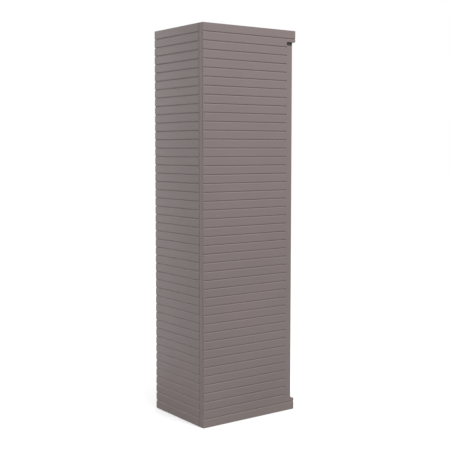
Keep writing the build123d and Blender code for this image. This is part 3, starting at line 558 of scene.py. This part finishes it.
# %% Four tubes and their rosettes
FLANGE_REACH = 9.0 * MM
FLANGE_THICK = 5.0 * MM
TIP = 0.6 * MM
EDGE_HEIGHT = 1.2 * MM
RING_HEIGHT = 2.6 * MM
STEP_HEIGHT = 0.6 * MM
BORES = {"tap": 9.5 * MM, "drain": 9.5 * MM, "inlet": 13.0 * MM, "overflow": 13.0 * MM}
TAIL_R = 16.0 * MM
for fitting, bore in BORES.items():
    middle = middle_of(f"{fitting}_tube")
    outer_end, inner_end = span(f"{fitting}_tube", X)
    gasket_face = span(f"{fitting}_gasket", X)[0]
    shoulder = span(f"{fitting}_rosette", X)[0]
    flange_low, flange_high = span(f"{fitting}_tube", Z)
    flange_r = (flange_high - flange_low) / 2
    thread_r = flange_r - FLANGE_REACH
    flange_face = gasket_face - FLANGE_THICK
    profile = [(inner_end, bore)]
    profile += thread(inner_end, gasket_face, thread_r)
    profile += [(gasket_face, flange_r - TIP), (gasket_face - TIP, flange_r)]
    profile += [(flange_face + TIP, flange_r), (flange_face, flange_r - TIP)]
    profile += thread(flange_face, shoulder, thread_r)
    if fitting in ("inlet", "overflow"):
        profile += barbs(shoulder, outer_end, TAIL_R, count=5)
    else:
        profile += thread(shoulder, outer_end, thread_r)
    profile += [(outer_end, bore + TIP), (outer_end + TIP, bore)]
    tube = turned(f"{fitting}_tube_threaded", X, middle, profile)
    soften(tube, 0.05 * MM, segments=1, turn=60.0)
    place(tube, f"{fitting}_tube")

    wall = span(f"{fitting}_rosette", X)[1]
    rim_low, rim_high = span(f"{fitting}_rosette", Z)
    rim = (rim_high - rim_low) / 2
    face_profile = [
        (wall, thread_r),
        (wall, rim),
        (wall - EDGE_HEIGHT, rim),
        (wall - RING_HEIGHT, rim - 1.6 * MM),
        (wall - RING_HEIGHT, rim - 5.0 * MM),
        (wall - RING_HEIGHT - STEP_HEIGHT, rim - 5.0 * MM - STEP_HEIGHT),
        (shoulder, rim - 7.0 * MM),
        (shoulder, thread_r),
    ]
    rosette = turned(f"{fitting}_rosette_stepped", X, middle, face_profile, steps=72)
    soften(rosette, 0.3 * MM)
    place(rosette, f"{fitting}_rosette")
    print(fitting, len(tube.data.polygons), len(rosette.data.polygons))

# %% [markdown]
# ### Caps and nuts
# A hand-tightened cap needs grips. The turned body has an even ring of faces, and every other group of
# them is extruded outwards. A knurl in a bump map would look alike from the front, but its outline
# would stay a smooth circle.

# %% Drain cap
middle = middle_of("drain_cap")
cap_end, cap_start = span("drain_cap", X)
CAP_THREAD_R = 13.25 * MM
CAP_R = 18.8 * MM
CAP_HEM = 0.8 * MM
HEM_HEIGHT = 1.8 * MM
DISH_DEPTH = 1.0 * MM
bore_end = span("drain_cap_seal", X)[0]
drain_profile = [
    (cap_end + DISH_DEPTH, 0.0),
    (cap_end + DISH_DEPTH, 10.0 * MM),
    (cap_end, 11.5 * MM),
    (cap_end, CAP_R - 2.6 * MM),
    (cap_end + 0.6 * MM, CAP_R - 1.0 * MM),
    (cap_end + 1.8 * MM, CAP_R),
    (cap_start - HEM_HEIGHT, CAP_R),
    (cap_start - HEM_HEIGHT, CAP_R + CAP_HEM),
    (cap_start, CAP_R + CAP_HEM),
    (cap_start, CAP_THREAD_R),
    (bore_end, CAP_THREAD_R),
    (bore_end, 0.0),
]
drain_cap = turned("drain_cap_gripped", X, middle, drain_profile, steps=96)
grips(drain_cap, X, middle, CAP_R, count=16, reach=1.2 * MM)
soften(drain_cap, 0.35 * MM)
place(drain_cap, "drain_cap")
print("drain cap", len(drain_cap.data.polygons))

# %% Nozzle nut
middle = middle_of("nozzle_nut")
nut_low, nut_high = span("nozzle_nut", Z)
NUT_R = 16.0 * MM
NUT_HOLE_R = 10.25 * MM
NUT_THREAD_R = 12.05 * MM
NUT_CHAMFER = 1.6 * MM
COLLAR_THICK = 4.0 * MM
COLLAR_PLAY = 0.3 * MM
nozzle_top = span("hose_nozzle", Z)[1]
ledge = nozzle_top - COLLAR_THICK - COLLAR_PLAY
nut_profile = [
    (nut_low, NUT_HOLE_R),
    (nut_low, NUT_R - NUT_CHAMFER),
    (nut_low + NUT_CHAMFER, NUT_R),
    (nut_high - 2.0 * MM, NUT_R),
    (nut_high - 1.2 * MM, NUT_R - 1.0 * MM),
    (nut_high, NUT_R - 1.2 * MM),
    (nut_high, NUT_THREAD_R),
    (ledge, NUT_THREAD_R),
    (ledge, NUT_HOLE_R),
]
nozzle_nut = turned("nozzle_nut_gripped", Z, middle, nut_profile, steps=96)
grips(nozzle_nut, Z, middle, NUT_R, count=16, reach=1.0 * MM)
soften(nozzle_nut, 0.3 * MM)
place(nozzle_nut, "nozzle_nut")
print("nozzle nut", len(nozzle_nut.data.polygons))

# %% Hose nozzle
middle = middle_of("hose_nozzle")
tail_end = span("hose_nozzle", Z)[0]
NOZZLE_BORE_R = 6.5 * MM
COLLAR_R = 12.0 * MM
NECK_R = 10.2 * MM
nozzle_profile = [
    (nozzle_top, NOZZLE_BORE_R),
    (nozzle_top, COLLAR_R),
    (nozzle_top - COLLAR_THICK, COLLAR_R),
    (nozzle_top - COLLAR_THICK, NECK_R),
    (nut_low, NECK_R),
    *barbs(nut_low, tail_end, 9.5 * MM, count=7, depth=0.9 * MM),
    (tail_end, NOZZLE_BORE_R + TIP),
    (tail_end + TIP, NOZZLE_BORE_R),
]
hose_nozzle = turned("hose_nozzle_barbed", Z, middle, nozzle_profile)
soften(hose_nozzle, 0.15 * MM)
place(hose_nozzle, "hose_nozzle")
print("hose nozzle", len(hose_nozzle.data.polygons))

# %% [markdown]
# ### Tank cap
# The big cap is a shallow cup with a gripped skirt, moulded rings on its top and a bar across it, so
# that a cold hand can turn it. The bar starts as a cube. Its two long sides are inset and pushed in
# for the fingers.

# %% Tank cap and its bar
middle = middle_of("tank_cap")
skirt_low, bar_top = span("tank_cap", Z)
ceiling = span("tank_cap_seal", Z)[1]
PLATE_THICK = 4.0 * MM
SKIRT_R = 93.0 * MM
SKIRT_HEM = 1.2 * MM
SKIRT_ROUND = 3.0 * MM
NECK_THREAD_R = 85.4 * MM
SUNKEN_RINGS = (66.0 * MM, 76.0 * MM)
RING_DEPTH = 0.8 * MM
plate_top = ceiling + PLATE_THICK
big_profile = [(plate_top, 0.0)]
for ring_r in SUNKEN_RINGS:
    big_profile += [(plate_top, ring_r), (plate_top - RING_DEPTH, ring_r + 1.0 * MM)]
    big_profile += [(plate_top - RING_DEPTH, ring_r + 5.0 * MM), (plate_top, ring_r + 6.0 * MM)]
big_profile += [
    (plate_top, SKIRT_R - SKIRT_ROUND),
    (plate_top - 0.3 * SKIRT_ROUND, SKIRT_R - 0.3 * SKIRT_ROUND),
    (plate_top - SKIRT_ROUND, SKIRT_R),
    (skirt_low + 2.0 * MM, SKIRT_R),
    (skirt_low + 2.0 * MM, SKIRT_R + SKIRT_HEM),
    (skirt_low, SKIRT_R + SKIRT_HEM),
    (skirt_low, NECK_THREAD_R),
    (ceiling, NECK_THREAD_R),
    (ceiling, 0.0),
]
tank_cap = turned("tank_cap_gripped", Z, middle, big_profile, steps=144)
grips(tank_cap, Z, middle, SKIRT_R, count=36, reach=1.6 * MM)

BAR = Vector((84.0, 10.0, 12.0)) * MM
BAR_END = 18.0 * MM
FINGER_RIM = 2.0 * MM
FINGER_DEPTH = 2.2 * MM
bar = block((middle.x, middle.y, bar_top - BAR.z / 2), BAR)
select_faces(bar, lambda centre, normal: abs(normal.y) > 0.9)
bpy.ops.mesh.inset(thickness=FINGER_RIM, use_individual=True)
bpy.ops.transform.shrink_fatten(value=-FINGER_DEPTH)
leave_edit()
for side in (-1, 1):
    select_faces(bar, lambda centre, normal: side * normal.x > 0.9)
    bpy.ops.mesh.extrude_region_move(TRANSFORM_OT_translate={"value": (side * BAR_END, 0.0, 0.0)})
    bpy.ops.transform.resize(value=(1.0, 0.7, 0.4), center_override=(middle.x, middle.y, plate_top))
    leave_edit()
absorb(tank_cap, bar)
soften(tank_cap, 0.7 * MM)
place(tank_cap, "tank_cap")
print("tank cap", len(tank_cap.data.polygons))

# %% [markdown]
# ### Latch knob
# The knob lies flush in its pocket: a dished disc with a bar for two fingers. The bar narrows towards
# its top, so that it comes out of its mould.

# %% Latch knob
middle = middle_of("latch_knob")
shaft_low, knob_top = span("latch_knob", Z)
POCKET_DEPTH = 8.2 * MM
DISC_THICK = 3.0 * MM
DISC_RIM = 1.6 * MM
KNOB_R = 22.0 * MM
SHAFT_R = 5.0 * MM
SHAFT_CHAMFER = 0.8 * MM
pocket_floor = knob_top - POCKET_DEPTH
disc_top = pocket_floor + DISC_THICK
knob_profile = [
    (disc_top, 0.0),
    (disc_top, KNOB_R - 5.5 * MM),
    (disc_top + DISC_RIM, KNOB_R - 3.5 * MM),
    (disc_top + DISC_RIM, KNOB_R - 1.0 * MM),
    (disc_top + DISC_RIM - 1.0 * MM, KNOB_R),
    (pocket_floor, KNOB_R),
    (pocket_floor, SHAFT_R),
    (shaft_low + SHAFT_CHAMFER, SHAFT_R),
    (shaft_low, SHAFT_R - SHAFT_CHAMFER),
    (shaft_low, 0.0),
]
knob = turned("latch_knob_dished", Z, middle, knob_profile, steps=72)
FINGER_BAR = Vector((36.0, 8.0, 5.2)) * MM
bar = block((middle.x, middle.y, knob_top - FINGER_BAR.z / 2), FINGER_BAR)
select_faces(bar, lambda centre, normal: normal.z > 0.9)
bpy.ops.transform.resize(value=(0.94, 0.62, 1.0), center_override=(middle.x, middle.y, knob_top))
leave_edit()
absorb(knob, bar)
soften(knob, 0.5 * MM, segments=3)
place(knob, "latch_knob")
print("latch knob", len(knob.data.polygons))

# %% [markdown]
# ## Tap lever
# The lever is a moulded arm: a hub on the stem, a narrow neck, and a wide grip with ribs across it. The
# arm grows from one cube: its end face is extruded station by station, and each new end is resized.

# %% Tap lever
lever_low, lever_top = span("tap_lever", Z)
lever_end = span("tap_lever", Y)[1]
hub = middle_of("tap_stem")
lever_middle = (lever_low + lever_top) / 2
HUB_R = 11.0 * MM
STEM_HOLE_R = 4.05 * MM
LOWER_CHAMFER = 0.6 * MM
UPPER_CHAMFER = 1.2 * MM
hub_profile = [
    (lever_low, STEM_HOLE_R),
    (lever_low, HUB_R - LOWER_CHAMFER),
    (lever_low + LOWER_CHAMFER, HUB_R),
    (lever_top - UPPER_CHAMFER, HUB_R),
    (lever_top, HUB_R - UPPER_CHAMFER),
    (lever_top, STEM_HOLE_R),
]
lever = turned("tap_lever_ribbed", Z, hub, hub_profile)

ARM_START = 8.0 * MM
NECK = 4.0 * MM
RIB = 3.0 * MM
TIP_ROOM = 4.0 * MM
# A station is a step along the arm, and the width and height that the arm has there, in metres.
ROOT_WIDTH, ROOT_HEIGHT = 13.0 * MM, 3.6 * MM
GROOVE = (RIB, 15.0 * MM, 5.2 * MM)
RIDGE = (RIB, 16.5 * MM, 6.0 * MM)
stations = [
    (6.0 * MM, 10.0 * MM, 3.6 * MM),
    (10.0 * MM, 9.0 * MM, 3.6 * MM),
    (8.0 * MM, 14.0 * MM, 5.2 * MM),
]
grip_start = ARM_START + NECK + sum(step for step, width, height in stations)
ribs = int((lever_end - hub.y - grip_start - TIP_ROOM) / RIB)
for rib in range(ribs):
    stations.append(GROOVE if rib % 2 else RIDGE)
stations.append((1.5 * MM, 13.0 * MM, 4.8 * MM))
root = (hub.x, hub.y + ARM_START + NECK / 2, lever_middle)
arm = block(root, (ROOT_WIDTH, NECK, ROOT_HEIGHT))
select_faces(arm, lambda centre, normal: normal.y > 0.9)
reached = hub.y + ARM_START + NECK
wide, high = ROOT_WIDTH, ROOT_HEIGHT
for step, width, height in stations:
    reached += step
    bpy.ops.mesh.extrude_region_move(TRANSFORM_OT_translate={"value": (0.0, step, 0.0)})
    growth = (width / wide, 1.0, height / high)
    bpy.ops.transform.resize(value=growth, center_override=(hub.x, reached, lever_middle))
    wide, high = width, height
leave_edit()
absorb(lever, arm)
soften(lever, 0.7 * MM, segments=3)
place(lever, "tap_lever")
print("lever reaches", round((lever_end - hub.y) / MM), "mm")

# %% [markdown]
# ## Screws
# One screw is turned and gets a six-lobe drive: the wall of its round recess is pushed out in every
# other twelfth of the circle. It is then copied to each place, where the CAD's own screws say which way
# it points.

# %% One screw, copied to its places
def screw(name, head_r, head_height, shank_r, length):
    """A screw that stands on its tip at the origin, with its head up."""
    lobes = 6
    recess_r = head_r * 0.36
    recess_floor = length + head_height * 0.35
    top = length + head_height
    profile = [(recess_floor, 0.0), (recess_floor, recess_r), (top, recess_r)]
    profile += [(top, head_r * 0.7), (top - head_height * 0.3, head_r * 0.93), (length, head_r)]
    profile += thread(length, 2.0 * shank_r, shank_r, 0.3 * shank_r)
    profile += [(0.0, 0.0)]
    piece = turned(name, Z, (0.0, 0.0, 0.0), profile, steps=4 * lobes)

    def on_lobe(centre, normal):
        turn = math.atan2(centre.y, centre.x) / math.tau % 1.0
        inside = math.hypot(centre.x, centre.y) < recess_r and abs(normal.z) < 0.1
        return inside and centre.z > recess_floor and int(turn * lobes * 2) % 2 == 0

    select_faces(piece, on_lobe)
    bpy.ops.mesh.extrude_region_shrink_fatten(TRANSFORM_OT_shrink_fatten={"value": -recess_r * 0.3})
    leave_edit()
    return piece


def screws_of(node_name, master):
    """Copy the screw to each solid of a CAD node, the way that solid points, and join the copies."""
    parts = whole_copy(node_name)
    bpy.ops.object.mode_set(mode="EDIT")
    bpy.ops.mesh.select_all(action="SELECT")
    bpy.ops.mesh.separate(type="LOOSE")
    leave_edit()
    copies = []
    for part in list(bpy.context.selected_objects):
        points = [vertex.co for vertex in part.data.vertices]
        low = Vector([min(point[axis] for point in points) for axis in (X, Y, Z)])
        high = Vector([max(point[axis] for point in points) for axis in (X, Y, Z)])
        middle = (low + high) / 2
        size = high - low
        axis = max((X, Y, Z), key=lambda candidate: size[candidate])
        widest = max(points, key=lambda point: (point - middle).length)
        head_up = DIRECTIONS[axis] * (1 if widest[axis] > middle[axis] else -1)
        tip = middle - head_up * size[axis] / 2
        copy = bpy.data.objects.new(f"{node_name}_copy", master.data.copy())
        bpy.context.scene.collection.objects.link(copy)
        turning = head_up.to_track_quat("Z", "Y").to_matrix().to_4x4()
        copy.data.transform(Matrix.Translation(tip) @ turning)
        copies.append(copy)
        bpy.data.objects.remove(part)
    absorb(*copies)
    copies[0].name = f"{node_name}_threaded"
    return copies[0]


RAIL_HEAD = 3.0 * MM
rail_screw_start, rail_screw_end = span("rail_screws", Y)
rail_length = rail_screw_end - rail_screw_start - RAIL_HEAD
# Each has its head's radius and height, its shank's radius, and its length under the head.
SCREWS = {
    "panel_screws": (4.0 * MM, 2.5 * MM, 1.75 * MM, 16.0 * MM),
    "rail_screws": (5.0 * MM, RAIL_HEAD, 2.5 * MM, rail_length),
}
for node_name, sizes in SCREWS.items():
    master = screw(f"{node_name}_master", *sizes)
    row = screws_of(node_name, master)
    bpy.data.objects.remove(master)
    shade_evenly(row)
    place(row, node_name)
    print(node_name, len(row.data.polygons))

# %% [markdown]
# ## Stage and light
# The floor is pale and the surround is white. A large soft lamp high on the right lights the long side,
# and it lights the lower lip of each groove more than the upper one. The camera sees a brighter floor
# and surround than the barrel does, so that they stay white and yet don't wash out its colour.

# %% Floor and surround
WHITE = (1.0, 1.0, 1.0, 1.0)
DIM_FLOOR = (0.45, 0.45, 0.45, 1.0)
FLOOR_SIZE = 60.0
FLOOR_GLOW = 0.3
SEEN_WHITE = 1.0
GIVEN_LIGHT = 0.857

bpy.ops.object.select_all(action="DESELECT")
bpy.ops.mesh.primitive_plane_add(size=FLOOR_SIZE, location=(0.0, 0.0, 0.0))
floor = bpy.context.object
floor.name = "floor"
pale = Finish("pale_floor", (0.82, 0.82, 0.82), 0.9)
pale.shader.inputs["Emission Color"].default_value = WHITE
pale.shader.inputs["Emission Strength"].default_value = FLOOR_GLOW
dim = pale.node("ShaderNodeBsdfDiffuse", {}, {"Color": DIM_FLOOR})
pale.surface("Material Output", dim, Value(pale, pale.shader.outputs[0]))
dress(floor, pale)

world = bpy.data.worlds.new("surround")
world.use_nodes = True
surround = Nodes(world.node_tree)
background = surround.tree.nodes["Background"]
background.inputs["Color"].default_value = WHITE
background.inputs["Strength"].default_value = GIVEN_LIGHT
seen = surround.node("ShaderNodeBackground", {}, {"Color": WHITE, "Strength": SEEN_WHITE})
surround.surface("World Output", Value(surround, background.outputs[0]), seen)
bpy.context.scene.world = world
bpy.context.scene.view_settings.view_transform = "Standard"
print("stage is", FLOOR_SIZE, "m wide")


# %% Lamps
def softbox(name, place, aim, size, power):
    """A lamp of that width and height at place, which faces aim and isn't seen itself."""
    lamp = bpy.data.lights.new(name, "AREA")
    lamp.shape = "RECTANGLE"
    lamp.size, lamp.size_y = size
    lamp.energy = power
    lamp_object = bpy.data.objects.new(name, lamp)
    lamp_object.location = place
    direction = Vector(aim) - Vector(place)
    lamp_object.rotation_euler = direction.to_track_quat("-Z", "Y").to_euler()
    lamp_object.visible_camera = False
    bpy.context.scene.collection.objects.link(lamp_object)


MIDDLE = (0.0, 0.0, 1.0)
softbox("right_lamp", (3.0, 0.5, 5.0), MIDDLE, (2.0, 2.0), 155.0)
softbox("front_lamp", (0.6, -3.0, 5.5), MIDDLE, (2.0, 2.0), 25.0)
softbox("left_strip", (-0.75, -0.6, 1.0), (-0.2, -0.26, 1.0), (0.2, 2.4), 2.1)
print("lamps:", len(bpy.data.lights))
